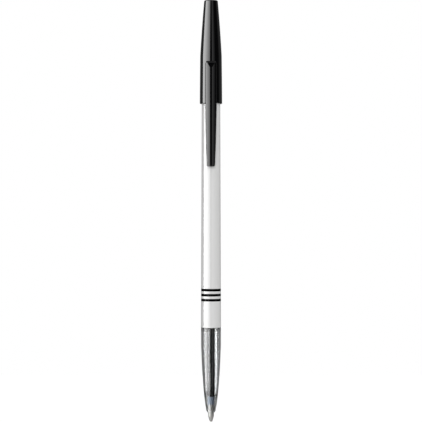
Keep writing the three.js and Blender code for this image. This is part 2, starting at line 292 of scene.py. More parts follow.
def black_gloss(name, base):
    """Polished moulded plastic: a deep body, a hard clear shine, faint flow marks and fine scratches."""

    def inputs(board):
        place = board.object_place()
        haze = board.noise(place, 900.0, 3.0)
        scratches = board.noise(board.stretched(place, (9000.0, 9000.0, 500.0)), 1.0, 1.0)
        flow = board.noise(board.stretched(place, (260.0, 260.0, 90.0)), 1.0, 2.0)
        tone = board.range(flow, 0.3, 0.7, 0.0, 1.0)
        lighter = [c * 1.35 for c in base]
        dulled = board.range(haze, 0.3, 0.75, 0.035, 0.06)
        return {
            "Base Color": board.mix_colour(tone, base, lighter),
            "Roughness": dulled + board.range(scratches, 0.62, 0.8, 0.0, 0.05),
            "IOR": 1.58,
            "Normal": board.bump(flow, 1.2e-6),
        }

    return new_material(name, inputs)


def printed_white():
    """Glossy white barrel plastic with its three printed rings, which are matt black."""
    size = sizes()
    look = colours()
    front_ring_z = BARREL_LOW.z + size.ring_front

    def rings(board):
        z = board.split(board.object_place())[2]
        mask = None
        for count in range(3):
            middle = front_ring_z + count * size.ring_pitch
            ring = (z - middle).absolute() < size.ring_width / 2
            mask = ring if mask is None else mask.largest(ring)
        return mask

    def inputs(board):
        place = board.object_place()
        flow = board.noise(board.stretched(place, (220.0, 220.0, 40.0)), 1.0, 2.0)
        grain = board.noise(place, 2600.0, 2.0)
        tone = board.range(flow, 0.3, 0.7, 0.0, 1.0)
        darker = [c * 0.985 for c in look.white_plastic]
        return {
            "Base Color": board.mix_colour(tone, look.white_plastic, darker),
            "Roughness": board.range(grain, 0.3, 0.7, 0.02, 0.05),
            "IOR": 1.55,
            "Specular IOR Level": 0.7,
            "Normal": board.bump(flow, 1.0e-6),
        }

    ring_look = {"Base Color": (*look.ring_ink, 1.0), "Roughness": 1.0, "Specular IOR Level": 0.0}
    return new_material("white barrel plastic", inputs, rings, ring_look)


def clear_moulding():
    """Clear polished plastic of the nose, with the faintest haze and flow marks."""
    look = colours()

    def inputs(board):
        place = board.object_place()
        haze = board.noise(place, 700.0, 3.0)
        flow = board.noise(board.stretched(place, (200.0, 200.0, 60.0)), 1.0, 2.0)
        return {
            "Base Color": tuple(look.clear_plastic),
            "Roughness": board.range(haze, 0.3, 0.7, 0.0, 0.008),
            "Specular Tint": (0.85, 0.85, 0.85),
            "IOR": 1.49,
            "Transmission Weight": 1.0,
            "Normal": board.bump(flow, 0.2e-6),
        }

    return new_material("clear nose plastic", inputs)


def drawn_tube():
    """Slightly milky drawn plastic of the refill tube, with long fine draw lines."""
    look = colours()

    def inputs(board):
        place = board.object_place()
        lines = board.noise(board.stretched(place, (5000.0, 5000.0, 60.0)), 1.0, 2.0)
        return {
            "Base Color": tuple(look.tube_plastic),
            "Roughness": board.range(lines, 0.3, 0.7, 0.01, 0.04),
            "Specular Tint": (0.7, 0.7, 0.7),
            "IOR": 1.5,
            "Transmission Weight": 1.0,
            "Normal": board.bump(lines, 0.02e-6),
        }

    return new_material("clear tube plastic", inputs)


def paste(name, base, roughness, gloss, grain_scale):
    """Ink or grease: a wet paste with a slight streakiness."""

    def inputs(board):
        place = board.object_place()
        grain = (grain_scale, grain_scale, grain_scale / 8)
        streaks = board.noise(board.stretched(place, grain), 1.0, 3.0)
        darker = [c * 0.8 for c in base]
        return {
            "Base Color": board.mix_colour(board.range(streaks, 0.35, 0.65, 0.0, 1.0), base, darker),
            "Roughness": board.range(streaks, 0.3, 0.7, roughness, roughness + 0.1),
            "Specular IOR Level": gloss,
            "Normal": board.bump(streaks, 0.5e-6),
        }

    return new_material(name, inputs)


def satin_plastic(name, base):
    """Satin moulded plastic of the holder and the plug."""

    def inputs(board):
        place = board.object_place()
        grain = board.noise(place, 4200.0, 3.0)
        cloud = board.noise(place, 500.0, 2.0)
        lighter = [min(1.0, c * 1.1) for c in base]
        return {
            "Base Color": board.mix_colour(board.range(cloud, 0.35, 0.65, 0.0, 1.0), base, lighter),
            "Roughness": board.range(grain, 0.3, 0.7, 0.4, 0.55),
            "IOR": 1.3,
            "Normal": board.bump(grain, 0.4e-6),
        }

    return new_material(name, inputs)


def turned_metal(name, base, line_scale, roughness, metallic):
    """Metal turned on a lathe: fine rings round the axis, and a few darker spots."""

    def inputs(board):
        place = board.object_place()
        rings = board.noise(board.stretched(place, (120.0, 120.0, line_scale)), 1.0, 2.0)
        spots = board.noise(place, 1500.0, 3.0)
        darker = [c * 0.88 for c in base]
        return {
            "Base Color": board.mix_colour(board.range(spots, 0.45, 0.7, 0.0, 1.0), base, darker),
            "Metallic": metallic,
            "Roughness": board.range(rings, 0.3, 0.7, roughness, roughness + 0.1),
            "Normal": board.bump(rings, 0.06e-6),
        }

    return new_material(name, inputs)


# Shapes

def s_place(distance_mm):
    """Height of a place that lies so many millimetres behind the writing ball's outermost point."""
    return TIP_Z + distance_mm * MM


def arc(r, z, radius, start, end, steps):
    """Points on an arc in the (radius, height) plane, angles in degrees from the outward direction."""
    points = []
    for step in range(steps + 1):
        angle = math.radians(start + (end - start) * step / steps)
        points.append((r + radius * math.cos(angle), z + radius * math.sin(angle)))
    return points


def bend(start, pull, end, steps):
    """Points on a quadratic curve from start to end that leans towards pull."""
    points = []
    controls = (start, pull, end)
    for step in range(steps + 1):
        t = step / steps
        shares = ((1 - t) ** 2, 2 * t * (1 - t), t * t)
        points.append(tuple(sum(k * p[axis] for k, p in zip(shares, controls)) for axis in (0, 1)))
    return points


def closed(points):
    """The same profile, ending where it starts."""
    return [*points, points[0]]


def held(points):
    """The same profile with a point just inside each end of its long stretches, to shade flats flat."""
    made = [points[0]]
    for start, end in zip(points, points[1:]):
        span = math.dist(start, end)
        if span > 6 * HOLD_DISTANCE:
            for share in (HOLD_DISTANCE / span, 1 - HOLD_DISTANCE / span):
                made.append(tuple(a + (b - a) * share for a, b in zip(start, end)))
        made.append(end)
    return made


def turning_tree():
    """Geometry Nodes that turn an ordered profile, given as radius and height, about the pen's axis."""
    name = "turned piece"
    if name in bpy.data.node_groups:
        return bpy.data.node_groups[name]
    tree = bpy.data.node_groups.new(name, "GeometryNodeTree")
    face = tree.interface
    face.new_socket(name="Profile", in_out="INPUT", socket_type="NodeSocketGeometry")
    face.new_socket(name="Segments", in_out="INPUT", socket_type="NodeSocketInt")
    face.new_socket(name="Axis Y", in_out="INPUT", socket_type="NodeSocketFloat")
    face.new_socket(name="Weld Distance", in_out="INPUT", socket_type="NodeSocketFloat")
    face.new_socket(name="Finish", in_out="INPUT", socket_type="NodeSocketMaterial")
    face.new_socket(name="Piece", in_out="OUTPUT", socket_type="NodeSocketGeometry")
    board = Board(tree)
    profile, segments, axis_y, weld, finish = board.add("NodeGroupInput")[:5]
    count = board.add("GeometryNodeAttributeDomainSize", {"component": "MESH"}, {"Geometry": profile})[0]
    sheet_inputs = {"Size X": 1.0, "Size Y": 1.0, "Vertices X": segments + 1, "Vertices Y": count}
    sheet = board.add("GeometryNodeMeshGrid", None, sheet_inputs)[0]
    place = board.add("GeometryNodeInputPosition")[0]
    across, along, _ = board.split(place)
    step = ((along + 0.5) * (count - 1)).join("ROUND")
    sampler = {"data_type": "FLOAT_VECTOR", "domain": "POINT"}
    source = {"Geometry": profile, "Value": place, "Index": step}
    radius, _, height = board.split(board.add("GeometryNodeSampleIndex", sampler, source)[0])
    angle = (across + 0.5) * math.tau
    x = radius * angle.join("COSINE")
    y = radius * angle.join("SINE") + axis_y
    spot = board.add("ShaderNodeCombineXYZ", None, [x, y, height])[0]
    turned = board.add("GeometryNodeSetPosition", None, {"Geometry": sheet, "Position": spot})[0]
    welded = board.add("GeometryNodeMergeByDistance", None, {"Geometry": turned, "Distance": weld})[0]
    realized = board.add("GeometryNodeRealizeInstances", None, {"Geometry": welded})[0]
    finished = board.add("GeometryNodeSetMaterial", None, {"Geometry": realized, "Material": finish})[0]
    board.add("NodeGroupOutput", None, {"Piece": finished})
    return tree


def tidy_mesh(mesh):
    """Points the faces outwards and keeps real corners sharp."""
    work = bmesh.new()
    work.from_mesh(mesh)
    bmesh.ops.dissolve_degenerate(work, dist=WELD_DISTANCE, edges=work.edges)
    bmesh.ops.recalc_face_normals(work, faces=work.faces)
    if work.calc_volume(signed=True) < 0:
        bmesh.ops.reverse_faces(work, faces=work.faces)
    work.to_mesh(mesh)
    work.free()
    mesh.shade_smooth()
    mesh.set_sharp_from_angle(angle=SHARP_ANGLE)


def turned_piece(name, profile, material, segments=PIECE_SEGMENTS):
    """A solid of revolution about the pen's axis, from an ordered profile of (radius, height)."""
    outline = bpy.data.meshes.new(name + " profile")
    outline.from_pydata([(r, 0.0, z) for r, z in held(profile)], [], [])
    maker = bpy.data.objects.new(name + "_profile", outline)
    bpy.context.scene.collection.objects.link(maker)
    modifier = maker.modifiers.new("turned", "NODES")
    modifier.node_group = turning_tree()
    values = {
        "Segments": segments,
        "Axis Y": AXIS_Y,
        "Weld Distance": WELD_DISTANCE,
        "Finish": material,
    }
    for item in modifier.node_group.interface.items_tree:
        if item.in_out == "INPUT" and item.name in values:
            modifier[item.identifier] = values[item.name]
    bpy.context.view_layer.update()
    baked = maker.evaluated_get(bpy.context.evaluated_depsgraph_get())
    mesh = bpy.data.meshes.new_from_object(baked)
    bpy.data.objects.remove(maker)
    mesh.name = name
    return finished_piece(name, mesh, material)


def finished_piece(name, mesh, material):
    """An object of a piece's mesh, tidied and with its finish."""
    tidy_mesh(mesh)
    mesh.materials.clear()
    mesh.materials.append(material)
    piece = bpy.data.objects.new(name, mesh)
    bpy.context.scene.collection.objects.link(piece)
    return piece


def place_piece(piece, body, node):
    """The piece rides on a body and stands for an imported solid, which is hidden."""
    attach(piece, body)
    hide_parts(node)


def barrel_r_at(z):
    """Outer radius of the tapered barrel at a height."""
    size = sizes()
    share = (z - BARREL_LOW.z) / (BARREL_HIGH.z - BARREL_LOW.z)
    return size.barrel_front_r + (size.barrel_rear_r - size.barrel_front_r) * share


def cap_outline():
    """Outside of the cap from its mouth to the start of its rounded top edge."""
    size = sizes()
    mouth = CAP_LOW.z
    top = CAP_HIGH.z
    shoulder_z = top - size.cap_crown_length
    shoulder = (size.cap_shoulder_r, shoulder_z)
    skirt = bend((size.cap_mouth_r, mouth), (size.cap_skirt_r, (mouth + shoulder_z) / 2), shoulder, 24)
    crown_pull = (size.cap_crown_bulge_r, top - size.cap_crown_length / 2)
    crown = bend(shoulder, crown_pull, (size.cap_top_r, top - size.cap_top_edge_r), 32)
    return [*skirt, *crown[1:]]


def cap_r_at(z):
    """Outer radius of the cap at a height."""
    outline = cap_outline()
    if z <= outline[0][1]:
        return outline[0][0]
    for (r_low, z_low), (r_high, z_high) in zip(outline, outline[1:]):
        if z <= z_high:
            return r_low + (r_high - r_low) * (z - z_low) / (z_high - z_low)
    return outline[-1][0]


def add_cap():
    """The cap: rounded mouth, skirt, crown, flat closed end, and the real hollow inside."""
    size = sizes()
    mouth = CAP_LOW.z
    top = CAP_HIGH.z
    rim_r = size.cap_mouth_wall / 2
    outline = cap_outline()
    rim = arc(size.cap_mouth_r - rim_r, mouth + rim_r, rim_r, -180, 0, 20)
    skirt = [p for p in outline if p[1] > mouth + rim_r * 1.5]
    edge_z = top - size.cap_top_edge_r
    edge = arc(size.cap_top_r - size.cap_top_edge_r, edge_z, size.cap_top_edge_r, 5, 90, 12)
    seat_z = mouth + size.cap_seat_depth
    bore_top = top - size.cap_top_wall
    ledge_r = 3.35 * MM
    hollow_pull_r = 3.05 * MM
    hollow_top_r = 2.05 * MM
    hollow_pull = (hollow_pull_r, (seat_z + bore_top) / 2)
    crown_bore = bend((ledge_r, seat_z), hollow_pull, (hollow_top_r, bore_top), 16)
    bore = [(0.0, bore_top), *crown_bore[::-1], (size.cap_seat_r, seat_z)]
    profile = [*bore, *rim, *skirt, *edge, (0.0, top)]
    finish = black_gloss("black cap plastic", colours().black_plastic)
    piece = turned_piece("cap_gloss", profile, finish)
    place_piece(piece, "cap", "cap_shell")


def clip_half_width_at(z):
    """Half of the clip's width at a height: arched root, straight sides, taper, rounded end."""
    size = sizes()
    root = CLIP_ROOT_Z
    end = CLIP_END_Z
    arch_end = root - 1.15 * MM
    taper_start = CAP_LOW.z - 0.6 * MM
    corner_r = 0.7 * MM
    if z > arch_end:
        share = (root - z) / (root - arch_end)
        reach = 1 - (1 - share) ** 2
        return size.clip_root_half_width + (size.clip_half_width - size.clip_root_half_width) * reach
    if z > taper_start:
        return size.clip_half_width
    share = (taper_start - z) / (taper_start - end)
    pull = 2.02 * MM
    k = ((1 - share) ** 2, 2 * share * (1 - share), share * share)
    width = k[0] * size.clip_half_width + k[1] * pull + k[2] * size.clip_end_half_width
    if z < end + corner_r:
        drop = (end + corner_r - z) / corner_r
        width -= corner_r * (1 - math.sqrt(max(0.0, 1 - drop * drop)))
    return width


def clip_under_at(x, z):
    """Height of the clip's underside above the axis: it follows the cap, then ends in a flat bead."""
    size = sizes()
    gap = 0.15 * MM
    skirt = math.sqrt((cap_r_at(z) + gap) ** 2 - x * x)
    flat = AXIS_Y
    bead_rear = CLIP_END_Z + 3.2 * MM
    ramp = 4.0 * MM
    lead = 1.1 * MM
    share = 0.0
    if z > bead_rear:
        share = min(1.0, (z - bead_rear) / ramp)
    elif z < CLIP_END_Z + lead:
        share = (CLIP_END_Z + lead - z) / lead
    share = share * share * (3 - 2 * share)
    return flat + (skirt - flat) * share if z < bead_rear + ramp else skirt


def clip_cut_at(z):
    """Height to which the root's ledge and roll, and the rounding at the end, cut the clip's face."""
    size = sizes()
    crest = AXIS_Y - CLIP_LOW.y
    ledge_drop = 0.264 * MM
    foot = CLIP_ROOT_Z - LEDGE_RUN
    roll_run = math.sqrt(2 * size.clip_roll_r * ledge_drop)
    if z > foot:
        cut = crest - ledge_drop - (z - foot)
    else:
        back = max(0.0, z - (foot - roll_run))
        cut = crest - back * back / (2 * size.clip_roll_r)
    end_r = 0.4 * MM
    below = CLIP_END_Z + end_r - z
    if below > 0:
        cut = min(cut, crest - end_r + math.sqrt(max(0.0, end_r ** 2 - below ** 2)))
    return cut


def clip_top_at(x, z):
    """Height of the clip's face above the pen's axis: the crowned strip where nothing cuts it lower."""
    size = sizes()
    crest = AXIS_Y - CLIP_LOW.y
    crown = crest - size.clip_crown_r + math.sqrt(size.clip_crown_r ** 2 - x * x)
    return min(crown, clip_cut_at(z))


def clip_crease_at(z):
    """Half width of the part of the face that the ledge or the roll has cut."""
    size = sizes()
    drop = AXIS_Y - CLIP_LOW.y - clip_cut_at(z)
    return math.sqrt(max(0.0, size.clip_crown_r ** 2 - (size.clip_crown_r - drop) ** 2))


def clip_stations():
    """Heights of the clip's cross sections, close together at its root and its end."""
    root = CLIP_ROOT_Z
    end = CLIP_END_Z
    end_run = 1.0 * MM
    coarse_step = 0.4 * MM
    stations = [end + end_run * (1 - math.cos(math.pi / 2 * step / 20)) for step in range(21)]
    fine_start = root - 3.2 * MM
    steps = math.ceil((fine_start - stations[-1]) / coarse_step)
    stations += [stations[-1] + (fine_start - stations[-1]) * k / steps for k in range(1, steps + 1)]
    foot = root - LEDGE_RUN
    roll_end = foot - 0.02 * MM
    stations += [fine_start + (roll_end - fine_start) * k / 40 for k in range(1, 41)]
    stations += [foot + (root - foot) * k / 12 for k in range(13)]
    return stations


def clip_side_at(z, half):
    """Where the rounded edge meets the face, then the edge's centre, radius and last angle."""
    size = sizes()
    reach = half
    least_r = 0.02 * MM
    side_depth = 0.6 * MM
    for _ in range(6):
        top = clip_top_at(reach, z)
        cut_here = reach < clip_crease_at(z)
        last = math.pi / 2 if cut_here else math.pi / 2 - math.asin(reach / size.clip_crown_r)
        room = top - clip_under_at(half, z)
        r = max(least_r, min(size.clip_edge_r, room * 0.6))
        centre = (reach - r * math.cos(last), top - r * math.sin(last))
        wall_top = centre[1] + r * math.sin(size.clip_draft)
        wall = min(side_depth, max(0.0, wall_top - clip_under_at(half, z)))
        foot = centre[0] + r * math.cos(size.clip_draft) + wall * math.tan(size.clip_draft)
        reach = max(0.3 * half, reach + half - foot)
    return reach, centre, r, last


def clip_section(z):
    """One cross section of the clip as a ring of (x, height above the axis)."""
    size = sizes()
    half = clip_half_width_at(z)
    across = 28
    edge_steps = 10
    crown_steps = 12
    flat_steps = 8
    reach, centre, r, last = clip_side_at(z, half)
    crease = min(max(0.05 * MM, clip_crease_at(z)), reach - 0.01 * MM)
    under = [-half + 2 * half * k / across for k in range(across + 1)]
    ring = [(x, min(clip_under_at(x, z), clip_top_at(x, z) - 0.02 * MM)) for x in under]
    edge = []
    for k in range(edge_steps + 1):
        angle = size.clip_draft + (last - size.clip_draft) * k / edge_steps
        edge.append((centre[0] + r * math.cos(angle), centre[1] + r * math.sin(angle)))
    hold = 0.01 * MM
    outer = crease + min(hold, (reach - crease) / 2)
    crown = [reach + (outer - reach) * k / crown_steps for k in range(1, crown_steps + 1)] + [crease]
    right = edge + [(x, clip_top_at(x, z)) for x in crown]
    inner = crease - hold
    middle = [inner - 2 * inner * k / flat_steps for k in range(flat_steps + 1)]
    ring += right
    ring += [(x, clip_top_at(x, z)) for x in middle]
    ring += [(-x, height) for x, height in reversed(right)]
    return ring


def add_clip():
    """The clip: a crowned strip lofted through its cross sections."""
    rings = [(z, clip_section(z)) for z in clip_stations()]
    around = len(rings[0][1])
    vertices = [(x, AXIS_Y - height, z) for z, ring in rings for x, height in ring]
    faces = []
    for row in range(len(rings) - 1):
        for step in range(around):
            a = row * around + step
            b = row * around + (step + 1) % around
            faces.append((a, b, b + around, a + around))
    faces.append(tuple(range(around)))
    faces.append(tuple(range((len(rings) - 1) * around, len(rings) * around)))
    mesh = bpy.data.meshes.new("clip_gloss")
    mesh.from_pydata(vertices, [], faces)
    finish = black_gloss("black clip plastic", colours().black_plastic)
    piece = finished_piece("clip_gloss", mesh, finish)
    place_piece(piece, "clip", "pocket_clip")


def add_barrel():
    """The white barrel: tapered tube with rounded rims and the nose's socket."""
    size = sizes()
    front = BARREL_LOW.z
    rear = BARREL_HIGH.z
    edge = 0.12 * MM
    socket_r = size.barrel_front_r - size.barrel_socket_wall
    socket_end = NOSE_HIGH.z + 0.3 * MM
    front_edge = arc(size.barrel_front_r - edge, front + edge, edge, -90, 0, 9)
    rear_edge = arc(size.barrel_rear_r - edge, rear - edge, edge, 0, 90, 9)
    steps = 24
    heights = [front + (rear - front) * k / steps for k in range(1, steps)]
    wall = [(barrel_r_at(z), z) for z in heights]
    inside = [
        (size.barrel_bore_r, rear),
        (size.barrel_bore_r, socket_end),
        (socket_r, socket_end),
        (socket_r, front),
    ]
    profile = closed([*front_edge, *wall, *rear_edge, *inside])
    piece = turned_piece("barrel_white", profile, printed_white())
    place_piece(piece, "barrel", "white_barrel")


def add_plug():
    """The hollow plug in the barrel's rear end."""
    size = sizes()
    rim_z = BARREL_HIGH.z
    shank_r = size.barrel_bore_r - PRESS_GAP
    head_r = 3.1 * MM
    wall = 0.8 * MM
    edge = 0.3 * MM
    profile = [
        (0.0, rim_z - wall),
        (shank_r - wall, rim_z - wall),
        (shank_r - wall, PLUG_LOW.z),
        *arc(shank_r - edge, PLUG_LOW.z + edge, edge, -90, 0, 9),
        (shank_r, rim_z),
        (head_r, rim_z),
        *arc(head_r - edge, PLUG_HIGH.z - edge, edge, 0, 90, 9),
        (0.0, PLUG_HIGH.z),
    ]
    finish = satin_plastic("black plug plastic", colours().plug_plastic)
    piece = turned_piece("rear_plug", profile, finish)
    place_piece(piece, "barrel", "end_plug")


def add_nose():
    """The clear nose: rounded mouth, bulged taper, spigot, and a hollow that narrows to the mouth."""
    size = sizes()
    mouth = NOSE_LOW.z
    rear = mouth + size.nose_length
    spigot_end = NOSE_HIGH.z
    spigot_r = size.barrel_front_r - size.barrel_socket_wall - PRESS_GAP
    shoulder = (size.nose_shoulder_r, mouth + 1.5 * MM)
    tip_pull = (size.nose_shoulder_r - 0.05 * MM, mouth + 0.5 * MM)
    tip = bend((size.nose_mouth_r, mouth), tip_pull, shoulder, 12)
    bulge = (size.nose_bulge_r, mouth + size.nose_bulge_place)
    straight = (size.nose_rear_r, rear - size.nose_straight)
    body = [*bend(shoulder, bulge, straight, 48), (size.nose_rear_r, rear)]
    spigot_bore_r = spigot_r - 0.5 * MM
    flare_length = 1.5 * MM
    tube_end_r = 2.0 * MM
    holder_end_r = 1.62 * MM
    holder_end_z = HOLDER_LOW.z - 0.05 * MM
    mouth_bore_r = size.point_r + 0.05 * MM
    mouth_bore_length = 0.9 * MM
    bore = bend(
        (size.nose_bore_r, rear - size.nose_bore_length),
        (size.nose_bore_bulge_r, rear - size.nose_bore_bulge_place),
        (size.nose_bore_end_r, rear - size.nose_bore_end_place),
        32,
    )
    inside = [
        (spigot_r, rear),
        (spigot_r, spigot_end),
        (spigot_bore_r, spigot_end),
        (spigot_bore_r, rear),
        (size.nose_bore_r, rear - flare_length),
        *bore,
        (tube_end_r, TUBE_LOW.z),
        (holder_end_r, holder_end_z),
        (mouth_bore_r, mouth + mouth_bore_length),
        (mouth_bore_r, mouth),
    ]
    profile = closed([*tip, *body[1:], *inside])
    piece = turned_piece("nose_clear", profile, clear_moulding())
    place_piece(piece, "nose", "clear_nose")


def add_refill():
    """The refill: tube, ink and the plug of grease behind it."""
    size = sizes()
    look = colours()
    edge = 0.08 * MM
    tube = closed([
        (size.tube_bore_r, TUBE_LOW.z),
        *arc(size.tube_r - edge, TUBE_LOW.z + edge, edge, -90, 0, 8),
        *arc(size.tube_r - edge, TUBE_HIGH.z - edge, edge, 0, 90, 8),
        (size.tube_bore_r, TUBE_HIGH.z),
    ])
    tube_piece = turned_piece("refill_tube_clear", tube, drawn_tube(), SMALL_SEGMENTS)
    place_piece(tube_piece, "nose", "refill_tube")
    fill_r = size.tube_bore_r + 0.004 * MM
    film_end = HOLDER_HIGH.z + 0.05 * MM
    film_r = 0.86 * MM
    ink = [
        (0.0, film_end),
        (film_r, film_end),
        (film_r, INK_LOW.z),
        (fill_r, INK_LOW.z),
        (fill_r, INK_HIGH.z),
        (0.0, INK_HIGH.z),
    ]
    ink_finish = paste("black ink", look.ink, 0.3, 0.0, 3000.0)
    ink_piece = turned_piece("ink_fill", ink, ink_finish, SMALL_SEGMENTS)
    place_piece(ink_piece, "nose", "ink_column")
    grease = [
        (0.0, GREASE_LOW.z),
        (fill_r, GREASE_LOW.z),
        (fill_r, GREASE_HIGH.z),
        (0.0, GREASE_HIGH.z),
    ]
    grease_finish = paste("clear grease", look.grease, 0.25, 0.3, 1200.0)
    grease_piece = turned_piece("grease_plug", grease, grease_finish, SMALL_SEGMENTS)
    place_piece(grease_piece, "nose", "grease_follower")


def add_point():
    """The holder, the turned metal point and the writing ball."""
    size = sizes()
    look = colours()
    edge = 0.12 * MM
    shank_r = 0.8 * MM
    socket_end = HOLDER_LOW.z + 2.33 * MM
    feed_r = 0.3 * MM
    sleeve_bore_r = 0.85 * MM
    holder = closed([
        (shank_r + PRESS_GAP, HOLDER_LOW.z),
        *arc(size.holder_r - edge, HOLDER_LOW.z + edge, edge, -90, 0, 8),
        (size.holder_r, TUBE_LOW.z),
        (sleeve_bore_r, TUBE_LOW.z),
        (sleeve_bore_r, HOLDER_HIGH.z),
        (feed_r, HOLDER_HIGH.z),
        (feed_r, socket_end),
        (shank_r + PRESS_GAP, socket_end),
    ])
    holder_finish = satin_plastic("blue grey holder plastic", look.holder_plastic)
    holder_piece = turned_piece("holder_sleeve", holder, holder_finish, SMALL_SEGMENTS)
    place_piece(holder_piece, "nose", "tip_holder")
    cone_end = s_place(2.34)
    ball_z = TIP_Z + size.ball_r
    socket_r = size.ball_r + 0.02 * MM
    lip_angle = -math.degrees(math.asin((size.ball_r - 0.3 * MM) / socket_r))
    socket = arc(0.0, ball_z, socket_r, lip_angle, 30.0, 10)
    lip = (socket[0][0] + 0.05 * MM, POINT_LOW.z)
    neck_top = HOLDER_LOW.z - PRESS_GAP
    neck_edge = 0.08 * MM
    blend = 0.1 * MM
    cone_blend_start = (size.point_r - 0.03 * MM, cone_end - blend)
    point = closed([
        lip,
        *bend(cone_blend_start, (size.point_r, cone_end), (size.point_r, cone_end + blend), 6),
        *arc(size.point_r - neck_edge, neck_top - neck_edge, neck_edge, 0, 90, 8),
        (shank_r, neck_top),
        (shank_r, POINT_HIGH.z),
        (feed_r, POINT_HIGH.z),
        (feed_r, socket[-1][1] + 0.4 * MM),
        *socket[::-1],
    ])
    point_finish = turned_metal("turned point metal", look.point_metal, 26000.0, 0.34, 0.3)
    point_piece = turned_piece("point_turned", point, point_finish, SMALL_SEGMENTS)
    place_piece(point_piece, "nose", "point_body")
    ball = [(0.0, TIP_Z), *arc(0.0, ball_z, size.ball_r, -86, 86, 24), (0.0, ball_z + size.ball_r)]
    ball_finish = turned_metal("ground ball metal", look.ball_metal, 3000.0, 0.12, 1.0)
    ball_piece = turned_piece("ball_ground", ball, ball_finish, SMALL_SEGMENTS)
    place_piece(ball_piece, "ball", "writing_ball")


# Studio

CAMERA_DISTANCE = 624.0 * MM
PHOTO_HEIGHT = 164.58 * MM
PHOTO_MIDDLE_S = 82.29
SENSOR_WIDTH = 36.0
FLOOR_DROP = 600.0 * MM
RING_RADIUS = 0.9
RING_TOP = 0.55
PANEL_FADE_START = 175.0 * MM
PANEL_FADE_END = 290.0 * MM
PANEL_FOOT_SHARE = 0.3
CEILING_LEVEL = 0.25
FLAG_LEVEL = 0.03
PANEL_STEP = 2.0

# Curved panels of the light ring: name, first and last angle from the camera towards the left of the
# picture, and the brightness at each, where white paper is 1; the panels fade towards their feet
PANELS = (
    ("softbox_inner", 11.5, 30.0, 2.3, 4.0),
    ("softbox_middle", 30.0, 60.0, 4.0, 7.4),
    ("softbox_outer", 60.0, 93.0, 7.4, 8.8),
    ("left_fill", 93.0, 125.0, 0.25, 0.18),
    ("left_flag", 125.0, 180.0, 0.18, 0.18),
    ("front_flag", -11.0, 11.5, FLAG_LEVEL, FLAG_LEVEL),
    ("front_strip", -16.0, -11.0, 0.72, 0.72),
    ("right_fill", -42.0, -16.0, 0.12, 0.62),
    ("right_flag", -92.0, -42.0, FLAG_LEVEL, FLAG_LEVEL),
    ("right_rear_fill", -135.0, -92.0, 0.2, 0.2),
    ("rear_flag", -169.5, -135.0, 0.15, 0.15),
    ("rear_fill", -180.0, -173.0, 0.35, 0.35),
)


def seen_mask(board):
    """1 for rays that show the surroundings: the camera's, and those of gloss and of clear plastic."""
    path = board.add("ShaderNodeLightPath")
    names = {value.socket.name: value for value in path}
    return names["Is Camera Ray"].largest(names["Is Glossy Ray"]).largest(names["Is Transmission Ray"])


def set_world():
    """Plain light from all round; the camera, gloss and clear plastic see the white surroundings."""
    world = bpy.data.worlds.new("plain studio")
    bpy.context.scene.world = world
    world.use_nodes = True
    board = Board(world.node_tree)
    background = next(n for n in world.node_tree.nodes if n.type == "BACKGROUND")
    ambient = 0.5
    board.feed(background.inputs["Color"], (*colours().background, 1.0))
    board.feed(background.inputs["Strength"], seen_mask(board) * (1.0 - ambient) + ambient)


def add_floor():
    """A plain pale floor below the hanging pen, also clear of the pen when it is pulled apart."""
    half = 6.0
    mesh = bpy.data.meshes.new("floor")
    z = TIP_Z - FLOOR_DROP
    corners = [(-half, -half, z), (half, -half, z), (half, half, z), (-half, half, z)]
    mesh.from_pydata(corners, [], [(0, 1, 2, 3)])
    floor = bpy.data.objects.new("floor", mesh)
    bpy.context.scene.collection.objects.link(floor)

    def inputs(board):
        place = board.object_place()
        mottle = board.noise(place, 3.0, 2.0)
        tone = board.range(mottle, 0.3, 0.7, 0.0, 1.0)
        white = tuple(colours().background)
        return {
            "Base Color": board.mix_colour(tone, (0.8, 0.8, 0.8), (0.82, 0.82, 0.82)),
            "Roughness": 0.9,
            "Emission Color": board.mix_colour(seen_mask(board), (0.0, 0.0, 0.0), white),
            "Emission Strength": 0.6,
        }

    mesh.materials.append(new_material("pale floor", inputs))


def show_to_gloss_only(thing):
    """Panels and flags stand outside the picture: only gloss and clear plastic show them."""
    thing.visible_camera = False
    thing.visible_diffuse = False
    thing.visible_shadow = False


def panel_finish(name, first, last, first_level, last_level):
    """A glowing cloth: its brightness runs evenly between its upright edges and fades at the foot."""
    material = bpy.data.materials.new(name)
    material.use_nodes = True
    material.node_tree.nodes.clear()
    material.cycles.emission_sampling = "NONE"
    board = Board(material.node_tree)
    x, y, z = board.split(board.object_place())
    angle = board.add("ShaderNodeMath", {"operation": "ARCTAN2"}, [-x, AXIS_Y - y])[0]
    share = board.range(angle, math.radians(first), math.radians(last), 0.0, 1.0)
    top_level = max(first_level, last_level)
    edge_colours = [(level / top_level,) * 3 for level in (first_level, last_level)]
    fade = board.range(z, TIP_Z - PANEL_FADE_END, TIP_Z - PANEL_FADE_START, PANEL_FOOT_SHARE, 1.0)
    inputs = {"Color": board.mix_colour(share, *edge_colours), "Strength": fade * top_level}
    glow = board.add("ShaderNodeEmission", None, inputs)[0]
    board.add("ShaderNodeOutputMaterial", None, {"Surface": glow})
    return material


def ring_spot(degrees, z):
    """A place on the ring, degrees from the camera towards the left of the picture."""
    angle = math.radians(degrees)
    return (-RING_RADIUS * math.sin(angle), AXIS_Y - RING_RADIUS * math.cos(angle), z)


